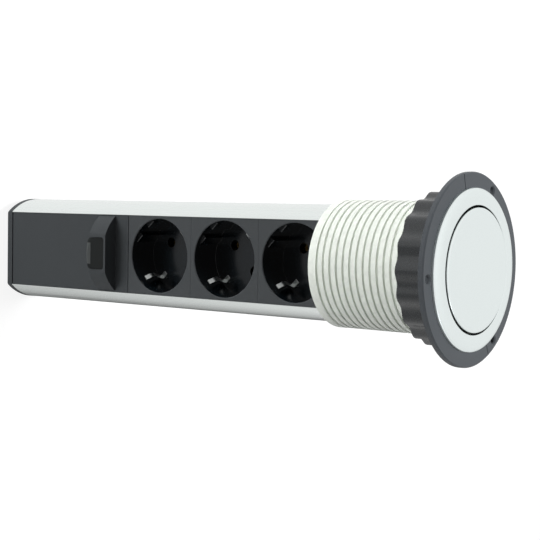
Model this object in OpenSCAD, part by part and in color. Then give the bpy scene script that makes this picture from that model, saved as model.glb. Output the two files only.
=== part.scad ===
// Pop-up desk socket: a round aluminium column with plug sockets that lifts out of a desk.
// Z = 0 is the desk top under the flange, +Z is up along the column, and the sockets face -Y.

/* [Column] */
// Outer radius of the round column
column_r = 29.4; // [28.5:0.1:33]
// Wall of the extruded profile
column_wall = 1.8; // [1.4:0.1:2.4]
// Flat at the front edge of each lip
lip_t = 0.3; // [0.2:0.1:0.6]
// How far the face plates lie behind the lips
face_step = 0.4; // [0.2:0.1:1]
// Thickness of a face plate
plate_t = 2.2; // [1.6:0.1:3]
// Thickness of the ledges that carry the face plates
ledge_t = 1.5; // [1:0.1:2.5]
// Reach of each ledge behind a plate's edge
ledge_w = 0.45; // [0.3:0.05:1]
// Length of the plain plate that stays in the desk
upper_l = 61.8; // [50:0.1:90]
// Length of the lower plate with the latch
blank_l = 94.5; // [84:0.5:130]
// Width of the guide groove in the back
groove_w = 5.6; // [4:0.1:8]
// Depth of the guide groove
groove_depth = 2.2; // [1.5:0.1:3]
// Angle of the screw ports from the back
port_angle = 42; // [36:1:50]
// Outer radius of a screw port
port_r = 3.2; // [2.6:0.1:4]
// Bore of a screw port
port_bore_d = 3; // [2:0.1:3.6]

/* [Sockets] */
// Pitch of the socket modules
module_l = 45; // [44:0.5:52]
// Radius of the plug recess
recess_r = 19.9; // [19.5:0.1:20.5]
// Depth of the plug recess
recess_depth = 17.5; // [15:0.1:18.5]
// Wall of the recess cup
cup_wall = 0.9; // [0.8:0.05:1.4]
// Floor of the recess cup
floor_t = 2; // [1.4:0.1:3]
// Chamfer at the mouth of a recess
mouth_edge = 0.4; // [0.2:0.1:0.6]
// Distance between the two pins of a plug
pin_spacing = 19; // [18:0.1:20]
// Diameter of a plug's pin
pin_d = 4.8; // [4:0.1:5]
// Diameter of a pin hole
pin_hole_d = 5.5; // [5:0.1:6]
// Distance of the guide shoulders from the centre
shoulder_at = 18; // [17:0.1:18.6]
// Depth of the shoulders below the face
shoulder_drop = 3; // [1.5:0.1:6]
// Width of the notch in each shoulder
notch_w = 6.2; // [4:0.1:8]
// Turn of the pin line about the recess
pin_turn = 45; // [40:1:50]

/* [Contacts] */
// Thickness of the earth strip
strip_t = 0.8; // [0.5:0.1:1.2]
// Width of an earth clip
clip_w = 2.6; // [2:0.1:6]
// Radius at which a clip stands on the floor
clip_foot = 17.6; // [16.8:0.1:18.4]
// Radius to which a clip bulges inwards
clip_bulge = 15.1; // [14.6:0.1:16]
// Length of a pin guide behind the recess
guide_l = 4; // [3:0.1:5]
// Wall of a pin guide
guide_wall = 0.8; // [0.6:0.1:1.2]
// Length of a pin contact
tulip_l = 14; // [12:0.1:15]
// Wall of a pin contact
tulip_wall = 0.7; // [0.5:0.1:1]
// Width of a bus bar
bar_w = 5; // [3.5:0.1:6]
// Thickness of a bus bar
bar_t = 1; // [0.6:0.1:1.6]

/* [Desk fitting] */
// Thickness of the flange
flange_t = 2.6; // [2.2:0.1:4]
// Width of the flat rim that lies on the desk
rim_w = 7.5; // [7:0.1:14]
// Distance of the screw holes from the rim's edge
hole_inset = 4.4; // [4:0.1:5.2]
// Diameter of a desk screw's hole
screw_hole_d = 3.6; // [3:0.1:4.4]
// Diameter of the countersink
screw_head_d = 5; // [4.6:0.1:6.8]
// Number of desk screws
screw_count = 3; // [2:1:6]
// Turn of the screw holes from the sockets' side
screw_turn = 4; // [-20:1:20]
// Width of the fine grooves in the rim
split_w = 0.4; // [0.2:0.1:0.8]
// Height of the trim ring on the flange
trim_h = 2.6; // [2.2:0.1:4]
// Wall of the trim ring outside the sleeve's collar
trim_lip = 4; // [1.6:0.1:5]
// Length of the sleeve below the desk top
sleeve_l = 68.8; // [66:0.1:90]
// Wall of the sleeve at the root of its thread
sleeve_wall = 1.15; // [1:0.05:2]
// Depth of the thread
thread_depth = 1; // [0.6:0.1:1.4]
// Pitch of the thread
thread_pitch = 3.75; // [3:0.05:5]
// Plain end of the sleeve below the thread
plain_l = 4.5; // [3:0.1:8]
// Overhang of the sleeve's collar
collar_w = 2.3; // [1.6:0.1:4]
// Thickness of the sleeve's collar
collar_t = 1.2; // [0.8:0.1:1.4]

/* [Clamping nut] */
// Height of the nut
nut_h = 16.8; // [12:0.1:24]
// Wall of the nut between its lobes
nut_wall = 2.7; // [2:0.1:4]
// Height of a lobe
lobe_h = 1.7; // [1:0.1:2.5]
// Number of lobes
lobes = 18; // [12:1:28]
// Thickness of the washer
washer_t = 1.2; // [0.8:0.1:2]
// Overhang of the washer past the nut
washer_lip = 1; // [0.5:0.1:2]

/* [Head] */
// Thickness of the lid disc
disc_t = 3.9; // [3:0.1:5]
// How far the disc stands above the trim ring
disc_proud = 0.7; // [0.1:0.1:1]
// Thickness of the plug under the disc
core_t = 3.5; // [3:0.1:6]
// Rounding of the disc's edge
disc_edge = 0.8; // [0.4:0.1:1.4]
// Depth of the plug and cap in the profile
spigot_l = 8; // [5:0.5:14]

/* [Latch] */
// Height of the arch's lower end above the column's end
arch_up = 72; // [68:0.1:76]
// Length of the arch along the column
arch_l = 12.5; // [10.5:0.1:16]
// Width of the arch's flat top
arch_top_w = 20.4; // [20:0.1:23]
// Wall of the arch
arch_wall = 1.4; // [1:0.1:1.8]
// Width of the latch
latch_w = 17.4; // [14:0.1:18]
// Flat at the latch's crest
crest_l = 1.2; // [1:0.1:3]
// Rounding of the latch's corners
latch_corner = 1.6; // [0.8:0.1:2.4]
// Travel of the latch into the arch
latch_in = 2.5; // [1.5:0.1:3]
// Travel of the latch out over the trim ring
latch_out = 1.5; // [1:0.1:1.6]
// Wire of the latch spring
wire_d = 0.5; // [0.3:0.05:0.7]
// Turns of the latch spring
spring_turns = 6; // [4:1:9]

/* [Cable end] */
// Thickness of the end cap
cap_t = 4; // [3:0.1:6]
// Bore of the cable gland
gland_bore_d = 8.6; // [6:0.1:10]
// Wall of the gland's neck
gland_wall = 3.6; // [2:0.1:4.5]
// Height of the gland below the cap
gland_h = 7; // [5:0.1:12]
// Length of the terminal block
block_l = 22; // [18:0.5:28]

/* [Clearances] */
// Between the column and the sleeve
slide_gap = 0.35; // [0.3:0.05:0.5]
// Between the sleeve's thread and what turns round it
nut_gap = 0.3; // [0.2:0.05:0.5]
// Between pieces that are fitted together
fit_gap = 0.1; // [0.05:0.05:0.15]
// Between pieces that move past each other
move_gap = 0.2; // [0.15:0.05:0.3]

/* [Hidden] */
$fn = 72;
SOCKETS = [1, 2, 3];

// Small fixed forms
lid_gap = 0.45;
seat_step = 0.8;
rim_edge = 0.6;
split_depth = 0.5;
split_turns = [-77, 114];
trim_wall_h = 0.9;
trim_crown_w = 4.6;
trim_lip_edge = 0.35;
arc_steps = 8;
sleeve_lead = 0.9;
seam_w = 0.3;

// Round stack from the column outwards
bore_r = column_r + slide_gap;
thread_root_r = bore_r + sleeve_wall;
thread_r = thread_root_r + thread_depth;
collar_r = thread_r + collar_w;
trim_bore_r = bore_r + lid_gap;
trim_r = collar_r + fit_gap + trim_lip;
nut_bore_r = thread_r + nut_gap;
nut_valley_r = nut_bore_r + nut_wall;
nut_r = nut_valley_r + lobe_h;
washer_r = nut_r + washer_lip;
seat_r = washer_r + 3 * move_gap;
flange_r = seat_r + rim_w;
flange_bore_r = thread_r + fit_gap;
screw_circle_r = flange_r - hole_inset;

// Heights along the axis
trim_top = flange_t + trim_h;
disc_top = trim_top + disc_proud;
disc_low = disc_top - disc_t;
col_top = disc_low - core_t;
sockets_top = col_top - upper_l;
sockets_low = sockets_top - len(SOCKETS) * module_l;
col_low = sockets_low - blank_l;
col_l = col_top - col_low;
washer_top = seat_step - nut_gap;
nut_top = washer_top - washer_t - fit_gap;
groove_l = 1.2;
groove_flank = 0.3;
thread_end = -sleeve_l + plain_l;
groove_count = floor((-seat_step - thread_end) / thread_pitch);

// Cross-section of the column
inner_r = column_r - column_wall;
cup_r = recess_r + cup_wall;
mouth_half = cup_r + 1.5 * fit_gap;
opening_half = mouth_half + ledge_w;
lip_y = -sqrt(pow(column_r, 2) - pow(opening_half + lip_t, 2));
face_y = lip_y + face_step;
ledge_y = face_y + plate_t;
ledge_back_y = ledge_y + ledge_t;
plate_half = opening_half - fit_gap;
groove_y = column_r - groove_depth;
key_w = groove_w - 3 * move_gap;
port_sink = 0.6;
port_screw_r = port_bore_d / 2 - fit_gap / 2;
port_at = inner_r - port_r + port_sink;
key_wall_half = groove_w / 2 + column_wall;

// Depths behind the face of a socket
floor_y = face_y + recess_depth;
floor_back_y = floor_y + floor_t;
contact_y = floor_back_y + guide_l;
bar_y = contact_y + tulip_l;
tulip_r = pin_d / 2 + tulip_wall;
guide_r = pin_hole_d / 2 + guide_wall;
pin_half = pin_spacing / 2;
bar_x = pin_half * cos(pin_turn);
cover_wall = 1.4;
cover_room = max(tulip_r, guide_r) + 2 * move_gap + cover_wall;
cover_half_x = bar_x + cover_room;
cover_half_z = pin_half * sin(pin_turn) + cover_room;
cover_back_y = bar_y + bar_t + 2 * move_gap + cover_wall;
clip_top_y = face_y + 1.2 * shoulder_drop;

// Latch, with its lower face flush with the arch's lower end
arch_low = col_low + arch_up;
arch_high = arch_low + arch_l;
arch_half = opening_half - 2 * lip_t;
arch_y = -sqrt(pow(column_r - fit_gap, 2) - pow(arch_top_w / 2, 2));
arch_in_y = arch_y + arch_wall;
// The flanks lie on a circle through the flat top's edges and the arch's feet
arch_mid_y = (pow(arch_half, 2) + pow(face_y, 2) - pow(arch_top_w / 2, 2) - pow(arch_y, 2))
    / (2 * (face_y - arch_y));
arch_r = norm([arch_half, face_y - arch_mid_y]);
latch_low = arch_low + fit_gap;
latch_high = arch_high - arch_wall;
lip_half = latch_w / 2;
shoulder_y = arch_in_y + latch_out + fit_gap;
shoulder_t = 1.4;
shoulder_reach = 1;
shoulder_half = lip_half + shoulder_reach;
stem_half_x = 6;
stem_half_z = 3;
stem_reach = 2;
stem_end_y = ledge_y + stem_reach;
stem_mid = (arch_low + arch_high) / 2;
cage_wall = 1.4;
pocket_roof = 1.5;
spring_top_y = shoulder_y + shoulder_t + pocket_roof;
spring_rest_l = 4;
spring_low_y = stem_end_y + latch_in + spring_rest_l;
spring_r = 1.9;
stroke = trim_top + nut_gap - latch_low;
key_low = col_low + stroke + move_gap;

// Cable end
cap_r = column_r + fit_gap;
cap_low = col_low - cap_t;
gland_r = gland_bore_d / 2 + gland_wall;
gland_hex_w = 2.4;
gland_flange_r = gland_r + gland_hex_w;
gland_nut_h = 4;
block_side = 2.4;
block_half = bar_x + bar_w / 2 + block_side;
block_drop = 20;
block_high = arch_low - block_drop;
block_low = block_high - block_l;
block_front_t = 5;
block_back_t = 3.5;
block_front_y = bar_y - block_front_t;
block_back_y = bar_y + bar_t + block_back_t;
block_slot_l = 9;
post_r = 3;
wire_hole_r = 1.8;
clamp_screw_r = 1.55;
clamp_inset = 5;

// Height of the centre of socket n, counted from the cable end
function socket_z(n) = sockets_low + (n - 0.5) * module_l;

// Points of an elliptical quarter from its side to its top, about (x, y)
function quarter(x, y, w, h) = [
    for (i = [0:arc_steps]) [x + w * cos(90 * i / arc_steps), y + h * sin(90 * i / arc_steps)]
];

// Points of a rectangle with rounded corners
function soft_rect(low, high, r) = [
    for (c = [[high[0] - r, high[1] - r, 0], [low[0] + r, high[1] - r, 90],
        [low[0] + r, low[1] + r, 180], [high[0] - r, low[1] + r, 270]], i = [0:arc_steps])
        [c[0] + r * cos(c[2] + 90 * i / arc_steps), c[1] + r * sin(c[2] + 90 * i / arc_steps)]
];

// Box from one corner to the opposite one
module span(low, high) {
    translate(low) cube(high - low);
}

// Cylinder along Y from y0 to y1
module rod_y(r, y0, y1) {
    translate([0, y0, 0]) rotate([-90, 0, 0]) cylinder(r = r, h = y1 - y0);
}

// Prism along Y from y0 to y1 with its outline in X and Z
module prism_y(outline, y0, y1) {
    translate([0, y1, 0]) rotate([90, 0, 0]) linear_extrude(y1 - y0) polygon(outline);
}

// Countersunk socket screw along +Z, its head's top at the origin
module screw(shank_r, length) {
    socket_r = 0.7 * shank_r;
    difference() {
        union() {
            translate([0, 0, -length]) cylinder(r = shank_r, h = length);
            translate([0, 0, -shank_r]) cylinder(r1 = shank_r, r2 = 2 * shank_r, h = shank_r);
        }
        translate([0, 0, -0.8 * shank_r]) cylinder(r = socket_r, h = 2 * shank_r, $fn = 6);
    }
}

// Cut for such a screw through a plate of the given thickness
module screw_hole(thickness) {
    r = port_screw_r + move_gap;
    translate([0, 0, -thickness - 1]) cylinder(r = r, h = thickness + 2);
    translate([0, 0, -port_screw_r]) cylinder(r1 = r, r2 = r + 2 * port_screw_r, h = 2 * port_screw_r);
}

// Children at both screw ports of the profile
module at_ports() {
    for (side = [-1, 1])
        translate([side * port_at * sin(port_angle), port_at * cos(port_angle), 0]) children();
}

// Desk fitting

module mounting_flange() {
    sink = (screw_head_d - screw_hole_d) / 2;
    color("#63686b") difference() {
        rotate_extrude() polygon([
            [flange_bore_r, seat_step], [seat_r, seat_step], [seat_r, 0], [flange_r, 0],
            [flange_r, flange_t - rim_edge], [flange_r - rim_edge, flange_t], [flange_bore_r, flange_t]
        ]);
        for (i = [0:screw_count - 1])
            rotate(screw_turn + i * 360 / screw_count) translate([0, -screw_circle_r, 0]) {
                cylinder(d = screw_hole_d, h = 4 * flange_t, center = true);
                translate([0, 0, flange_t - sink])
                    cylinder(r1 = screw_hole_d / 2, r2 = screw_hole_d / 2 + 2 * sink, h = 2 * sink);
            }
        for (turn = split_turns)
            rotate(turn) span([-split_w / 2, -2 * flange_r, flange_t - split_depth],
                [split_w / 2, -trim_r + trim_lip / 2, 2 * flange_t]);
    }
}

module trim_ring() {
    pocket_top = flange_t + collar_t + fit_gap;
    shoulder = flange_t + trim_wall_h;
    color("#dfe4e3") rotate_extrude() polygon(concat(
        [[collar_r + fit_gap, pocket_top], [collar_r + fit_gap, flange_t], [trim_r, flange_t]],
        quarter(trim_r - trim_crown_w, shoulder, trim_crown_w, trim_top - shoulder),
        [[trim_bore_r + trim_lip_edge, trim_top], [trim_bore_r, trim_top - trim_lip_edge]],
        [[trim_bore_r, pocket_top]]
    ));
}

module threaded_sleeve() {
    top = flange_t + collar_t;
    // One groove as [height, share of the depth]
    groove = [[0, 0], [groove_flank, 1], [groove_l - groove_flank, 1], [groove_l, 0]];
    groove_points = [
        for (i = [0:groove_count - 1], p = groove)
            [thread_r - thread_depth * p[1], thread_end + i * thread_pitch + p[0]]
    ];
    color("#dfe2da") union() {
        rotate_extrude() polygon(concat(
            [[bore_r, -sleeve_l], [thread_r - rim_edge, -sleeve_l], [thread_r, -sleeve_l + rim_edge]],
            groove_points,
            [[thread_r, flange_t], [collar_r, flange_t], [collar_r, top]],
            [[bore_r + sleeve_lead, top], [bore_r, top - sleeve_lead]]
        ));
        // Guide key: the column hangs on its top end, and the end cap stops at its lower end
        span([-key_w / 2, groove_y + 2 * move_gap, key_low], [key_w / 2, thread_root_r - move_gap, col_top]);
    }
}

module clamp_washer() {
    color("#55585b") translate([0, 0, washer_top - washer_t]) difference() {
        cylinder(r = washer_r, h = washer_t);
        cylinder(r = nut_bore_r, h = 4 * washer_t, center = true);
    }
}

module clamping_nut() {
    steps = 8 * lobes;
    outline = [
        for (i = [0:steps - 1])
            let (turn = 360 * i / steps, r = nut_valley_r + lobe_h * (1 + cos(lobes * turn)) / 2)
                [r * sin(turn), -r * cos(turn)]
    ];
    color("#3f4246") translate([0, 0, nut_top - nut_h]) difference() {
        linear_extrude(nut_h) polygon(outline);
        cylinder(r = nut_bore_r, h = 4 * nut_h, center = true);
    }
}

// Column

module column_section() {
    difference() {
        union() {
            difference() {
                circle(column_r);
                circle(inner_r);
            }
            intersection() {
                circle(column_r);
                translate([-column_r, lip_y]) square([2 * column_r, ledge_back_y - lip_y]);
            }
            translate([-key_wall_half, groove_y - column_wall])
                square([2 * key_wall_half, column_wall + groove_depth / 2]);
            at_ports() circle(port_r);
        }
        translate([-column_r, -2 * column_r]) square([2 * column_r, 2 * column_r + lip_y]);
        translate([-opening_half, -column_r]) square([2 * opening_half, column_r + ledge_y]);
        translate([-mouth_half, -column_r]) square([2 * mouth_half, column_r + ledge_back_y]);
        translate([-groove_w / 2, groove_y]) square([groove_w, column_r]);
        at_ports() circle(d = port_bore_d);
    }
}

module column_profile() {
    color("#d5dad9") translate([0, 0, col_low]) linear_extrude(col_l) column_section();
}

// Plug that fits the hollow of the profile, from z0 to z1
module spigot(z0, z1) {
    difference() {
        translate([0, 0, z0]) cylinder(r = inner_r - fit_gap, h = z1 - z0);
        span([-column_r, -column_r, z0 - 1], [column_r, ledge_back_y + fit_gap, z1 + 1]);
        span([-key_wall_half - fit_gap, groove_y - column_wall - fit_gap, z0 - 1],
            [key_wall_half + fit_gap, column_r, z1 + 1]);
        at_ports() translate([0, 0, z0 - 1]) cylinder(r = port_r + fit_gap, h = z1 - z0 + 2);
    }
}

module head_disc() {
    r = column_r - move_gap;
    color("#dfe5e4") rotate_extrude() polygon(concat(
        [[0, disc_low], [r, disc_low]],
        quarter(r - disc_edge, disc_top - disc_edge, disc_edge, disc_edge),
        [[0, disc_top]]
    ));
}

module head_core() {
    color("#3b3d40") difference() {
        union() {
            translate([0, 0, col_top]) cylinder(r = column_r - move_gap, h = core_t);
            spigot(col_top - spigot_l, col_top + fit_gap);
        }
        at_ports() translate([0, 0, disc_low]) screw_hole(core_t);
    }
}

module head_screws() {
    color("#b9bcbe") at_ports() translate([0, 0, disc_low]) screw(port_screw_r, core_t + spigot_l);
}

// Plain face plate between two heights
module face_plate(z0, z1) {
    span([-plate_half, face_y, z0 + fit_gap / 2], [plate_half, ledge_y, z1 - fit_gap / 2]);
}

module upper_blank() {
    rib_h = 3;
    color("#46484b") union() {
        face_plate(sockets_top, col_top);
        for (side = [-1, 1])
            span([side * mouth_half / 2 - 1, ledge_y - fit_gap, sockets_top + 1],
                [side * mouth_half / 2 + 1, ledge_y + rib_h, col_top - spigot_l - 1]);
    }
}

// Sockets

// Places children of a socket drawn about the origin, with +X along the given line of the recess
module in_socket(n, turn) {
    translate([0, 0, socket_z(n)]) rotate([0, turn, 0]) children();
}

module socket_insert(n) {
    end = (module_l - fit_gap) / 2;
    color("#1d2022") difference() {
        union() {
            face_plate(socket_z(n) - module_l / 2, socket_z(n) + module_l / 2);
            // A cup wider than its module is trimmed flat at the module's ends
            in_socket(n, 0) intersection() {
                rod_y(cup_r, face_y + fit_gap, floor_back_y);
                span([-column_r, -column_r, -end], [column_r, column_r, end]);
            }
            for (turn = [-pin_turn, 180 - pin_turn]) in_socket(n, turn) translate([pin_half, 0, 0])
                rod_y(guide_r, floor_back_y - fit_gap, contact_y - fit_gap);
        }
        difference() {
            in_socket(n, 0) rod_y(recess_r, face_y - 1, floor_y);
            for (turn = [-pin_turn, 180 - pin_turn]) in_socket(n, turn) difference() {
                span([shoulder_at, face_y + shoulder_drop, -cup_r], [2 * cup_r, floor_y + 1, cup_r]);
                span([0, face_y - 1, -notch_w / 2], [3 * cup_r, floor_y + 2, notch_w / 2]);
            }
        }
        in_socket(n, 0) translate([0, face_y - mouth_edge, 0]) rotate([-90, 0, 0])
            cylinder(r1 = recess_r + 2 * mouth_edge, r2 = recess_r, h = 2 * mouth_edge);
        for (turn = [-pin_turn, 180 - pin_turn])
            in_socket(n, turn) translate([pin_half, 0, 0])
                rod_y(pin_hole_d / 2, floor_y - 1, contact_y + 1);
        for (turn = [pin_turn, 180 + pin_turn])
            in_socket(n, turn) span([clip_foot - strip_t, floor_y - 1, -clip_w / 2 - move_gap],
                [clip_foot + strip_t + move_gap, floor_back_y + 1, clip_w / 2 + move_gap]);
    }
}

module earth_bracket(n) {
    // Path of one clip from the floor to its tip, as [distance from the centre, depth]
    rise = floor_y - clip_top_y;
    path = [
        [clip_foot, floor_back_y], [clip_foot, floor_y - 0.15 * rise],
        [clip_bulge, clip_top_y + 0.38 * rise], [clip_bulge + 0.3, clip_top_y + 0.22 * rise],
        [clip_foot, clip_top_y]
    ];
    ways = [0, 1, 2, 3, 4];
    strip = concat(
        [for (i = ways) path[i]],
        [for (i = ways) path[4 - i] + [strip_t, 0]]
    );
    color("#d9dadb") union() {
        for (turn = [pin_turn, 180 + pin_turn]) in_socket(n, turn) {
            linear_extrude(clip_w, center = true) polygon(strip);
            span([0, floor_back_y, -clip_w / 2], [clip_foot + strip_t, floor_back_y + strip_t, clip_w / 2]);
        }
        in_socket(n, 0) span([-clip_w / 2, floor_back_y, -strip_t], [clip_w / 2, bar_y, strip_t]);
    }
}

module contact_pair(n) {
    slit_w = 1;
    color("#c9a94f") for (turn = [-pin_turn, 180 - pin_turn])
        in_socket(n, turn) translate([pin_half, 0, 0]) difference() {
            rod_y(tulip_r, contact_y, bar_y);
            rod_y(pin_d / 2, contact_y - 1, bar_y - tulip_wall);
            span([-slit_w / 2, contact_y - 1, -2 * tulip_r], [slit_w / 2, bar_y - 3, 2 * tulip_r]);
        }
}

module rear_cover(n) {
    inner_x = cover_half_x - cover_wall;
    inner_z = cover_half_z - cover_wall;
    slot = bar_w / 2 + move_gap;
    color("#2b2d2f") difference() {
        in_socket(n, 0) span([-cover_half_x, floor_back_y, -cover_half_z],
            [cover_half_x, cover_back_y, cover_half_z]);
        in_socket(n, 0) span([-inner_x, floor_back_y - 1, -inner_z],
            [inner_x, cover_back_y - cover_wall, inner_z]);
        for (x = [-bar_x, 0, bar_x])
            in_socket(n, 0) span([x - slot, bar_y - move_gap, -2 * cover_half_z],
                [x + slot, bar_y + bar_t + move_gap, 2 * cover_half_z]);
        in_socket(n, pin_turn) span([-2 * cup_r, floor_back_y - 1, -clip_w / 2 - move_gap],
            [2 * cup_r, floor_back_y + strip_t + move_gap, clip_w / 2 + move_gap]);
    }
}

// Bus bar from the terminal block to the last socket
module bus_bar(x) {
    span([x - bar_w / 2, bar_y, block_high - block_slot_l + 1],
        [x + bar_w / 2, bar_y + bar_t, socket_z(len(SOCKETS)) + cover_half_z]);
}

module live_bar() {
    color("#b9823f") bus_bar(bar_x);
}

module neutral_bar() {
    color("#b9823f") bus_bar(-bar_x);
}

module earth_bar() {
    color("#b9823f") bus_bar(0);
}

// Lower plate and latch

// Section of the arch: round flanks, and a flat top for the latch
module arch_section(inset) {
    intersection() {
        translate([0, arch_mid_y]) circle(arch_r - inset);
        translate([-arch_half + inset, arch_y + inset])
            square([2 * (arch_half - inset), ledge_y - arch_y - inset]);
    }
}

module blank_cover() {
    window_half = lip_half + move_gap;
    color("#46484b") difference() {
        union() {
            face_plate(col_low + seam_w, sockets_low - seam_w);
            translate([0, 0, arch_low]) linear_extrude(arch_l) arch_section(0);
            for (side = [-1, 1])
                translate([side * (block_half - post_r), 0, (block_low + block_high) / 2])
                    rod_y(post_r, ledge_y - 1, block_front_y);
        }
        translate([0, 0, arch_low + arch_wall]) intersection() {
            linear_extrude(arch_l - 2 * arch_wall) arch_section(arch_wall);
            span([-column_r, -column_r, -1], [column_r, face_y, arch_l]);
        }
        span([-shoulder_half - move_gap, arch_in_y, arch_low + arch_wall],
            [shoulder_half + move_gap, ledge_y + 1, arch_high - arch_wall]);
        // The latch shows through the arch's top and lower end
        prism_y(soft_rect([-window_half, arch_low - 4 * latch_corner], [window_half, latch_high],
            latch_corner + move_gap), -2 * column_r, shoulder_y + latch_in + fit_gap);
    }
}

module latch_cage() {
    half_x = stem_half_x + move_gap;
    half_z = stem_half_z + move_gap;
    foot_half = shoulder_half + 2 * cage_wall;
    floor_end = spring_low_y + cage_wall;
    color("#35373a") translate([0, 0, stem_mid]) difference() {
        union() {
            span([-half_x - cage_wall, ledge_y, -half_z - cage_wall],
                [half_x + cage_wall, floor_end, half_z + cage_wall]);
            span([-foot_half, ledge_y, -arch_l / 2], [foot_half, ledge_y + cage_wall, arch_l / 2]);
        }
        span([-half_x, ledge_y - 1, -half_z], [half_x, spring_low_y, half_z]);
    }
}

module latch_button() {
    shoulder_low = arch_low + arch_wall + move_gap;
    shoulder_high = latch_high - move_gap;
    pocket_r = spring_r + wire_d / 2 + move_gap;
    top_y = -column_r;
    slope_end_y = shoulder_y - 2 * move_gap;
    color("#34373a") difference() {
        union() {
            intersection() {
                translate([0, 0, latch_low]) cylinder(r = column_r, h = arch_l);
                rotate([90, 0, 90]) translate([0, 0, -lip_half]) linear_extrude(latch_w) polygon([
                    [shoulder_y, latch_low], [top_y, latch_low], [top_y, latch_low + crest_l],
                    [slope_end_y, latch_high - move_gap], [shoulder_y, latch_high - move_gap]
                ]);
                prism_y(soft_rect([-lip_half, latch_low], [lip_half, latch_high - move_gap], latch_corner),
                    -2 * column_r, shoulder_y + 1);
            }
            span([-shoulder_half, shoulder_y, shoulder_low],
                [shoulder_half, shoulder_y + shoulder_t, shoulder_high]);
            span([-stem_half_x, shoulder_y + fit_gap, stem_mid - stem_half_z],
                [stem_half_x, stem_end_y, stem_mid + stem_half_z]);
        }
        translate([0, 0, stem_mid]) rod_y(pocket_r, spring_top_y, stem_end_y + 1);
    }
}

// Coil spring of the latch: one round wire on a helix along Y
module latch_spring() {
    sides = 6;
    rings_per_turn = 8;
    rings = spring_turns * rings_per_turn;
    rise = spring_low_y - spring_top_y - wire_d - 2 * fit_gap;
    start_y = spring_top_y + wire_d / 2 + fit_gap;
    centres = [
        for (i = [0:rings])
            let (turn = 360 * i / rings_per_turn)
                [spring_r * cos(turn), start_y + rise * i / rings, spring_r * sin(turn)]
    ];
    points = [
        for (i = [0:rings], k = [0:sides - 1])
            let (turn = 360 * i / rings_per_turn, around = 360 * k / sides)
                centres[i] + wire_d / 2 * [cos(around) * cos(turn), sin(around), cos(around) * sin(turn)]
    ];
    skin = [
        for (i = [0:rings - 1], k = [0:sides - 1], half = [0, 1])
            let (a = i * sides + k, b = i * sides + (k + 1) % sides)
                half == 0 ? [a, a + sides, b] : [b, a + sides, b + sides]
    ];
    last = rings * sides;
    ends = concat(
        [for (k = [1:sides - 2]) [0, k, k + 1]],
        [for (k = [1:sides - 2]) [last, last + k + 1, last + k]]
    );
    least = min([
        for (i = [0:rings], j = [i + rings_per_turn / 2:rings])
            norm(centres[i] - centres[j])
    ]);
    echo(str("least gap between the spring's turns: ", least - wire_d, " mm"));
    color("#b5b8ba") translate([0, 0, stem_mid]) polyhedron(points, concat(skin, ends));
}

// Cable end

module terminal_block() {
    color("#d8d6cc") difference() {
        span([-block_half, block_front_y, block_low], [block_half, block_back_y, block_high]);
        for (x = [-bar_x, 0, bar_x]) {
            span([x - bar_w / 2 - fit_gap, bar_y - fit_gap, block_high - block_slot_l],
                [x + bar_w / 2 + fit_gap, bar_y + bar_t + fit_gap, block_high + 1]);
            translate([x, bar_y, block_low - 1]) cylinder(r = wire_hole_r, h = block_l - block_slot_l);
            for (z = [block_low + clamp_inset, block_high - clamp_inset])
                translate([x, 0, z]) rod_y(clamp_screw_r + fit_gap / 2, block_front_y - 1, bar_y);
        }
    }
}

module terminal_screws() {
    slot_half = 0.3;
    color("#b9bcbe") for (x = [-bar_x, 0, bar_x], z = [block_low + clamp_inset, block_high - clamp_inset])
        translate([x, 0, z]) difference() {
            rod_y(clamp_screw_r, block_front_y + 1, bar_y - fit_gap);
            span([-2 * clamp_screw_r, block_front_y, -slot_half],
                [2 * clamp_screw_r, block_front_y + 1.8, slot_half]);
        }
}

module bottom_cap() {
    ring_wall = 2.4;
    color("#3f4245") difference() {
        union() {
            intersection() {
                rotate_extrude() polygon([
                    [0, cap_low], [cap_r - rim_edge, cap_low], [cap_r, cap_low + rim_edge],
                    [cap_r, col_low], [0, col_low]
                ]);
                span([-2 * cap_r, lip_y, cap_low - 1], [2 * cap_r, 2 * cap_r, col_low + 1]);
            }
            difference() {
                spigot(col_low - fit_gap, col_low + spigot_l);
                translate([0, ring_wall, col_low]) cylinder(r = inner_r - 3 * ring_wall, h = 2 * spigot_l);
            }
        }
        translate([0, 0, cap_low - 1]) cylinder(r = gland_r + fit_gap / 2, h = cap_t + 2);
        at_ports() translate([0, 0, cap_low]) mirror([0, 0, 1]) screw_hole(cap_t);
    }
}

module cap_screws() {
    color("#b9bcbe") at_ports() translate([0, 0, cap_low]) mirror([0, 0, 1])
        screw(port_screw_r, cap_t + spigot_l);
}

module cable_gland() {
    color("#2f3133") difference() {
        union() {
            translate([0, 0, cap_low]) cylinder(r = gland_r, h = cap_t + gland_nut_h + 1);
            translate([0, 0, cap_low - gland_h / 2]) cylinder(r = gland_flange_r, h = gland_h / 2, $fn = 6);
            translate([0, 0, cap_low - gland_h]) cylinder(r1 = gland_r - 2, r2 = gland_r, h = gland_h / 2);
        }
        translate([0, 0, cap_low - gland_h - 1])
            cylinder(d = gland_bore_d, h = gland_h + cap_t + gland_nut_h + 3);
    }
}

module gland_nut() {
    color("#2f3133") translate([0, 0, col_low]) difference() {
        cylinder(r = gland_flange_r, h = gland_nut_h, $fn = 6);
        cylinder(r = gland_r + fit_gap / 2, h = 4 * gland_nut_h, center = true);
    }
}

mounting_flange();
trim_ring();
threaded_sleeve();
clamp_washer();
clamping_nut();
column_profile();
head_disc();
head_core();
head_screws();
upper_blank();
for (n = SOCKETS) {
    socket_insert(n);
    earth_bracket(n);
    contact_pair(n);
    rear_cover(n);
}
live_bar();
neutral_bar();
earth_bar();
blank_cover();
latch_cage();
latch_button();
latch_spring();
terminal_block();
terminal_screws();
bottom_cap();
cap_screws();
cable_gland();
gland_nut();
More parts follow.
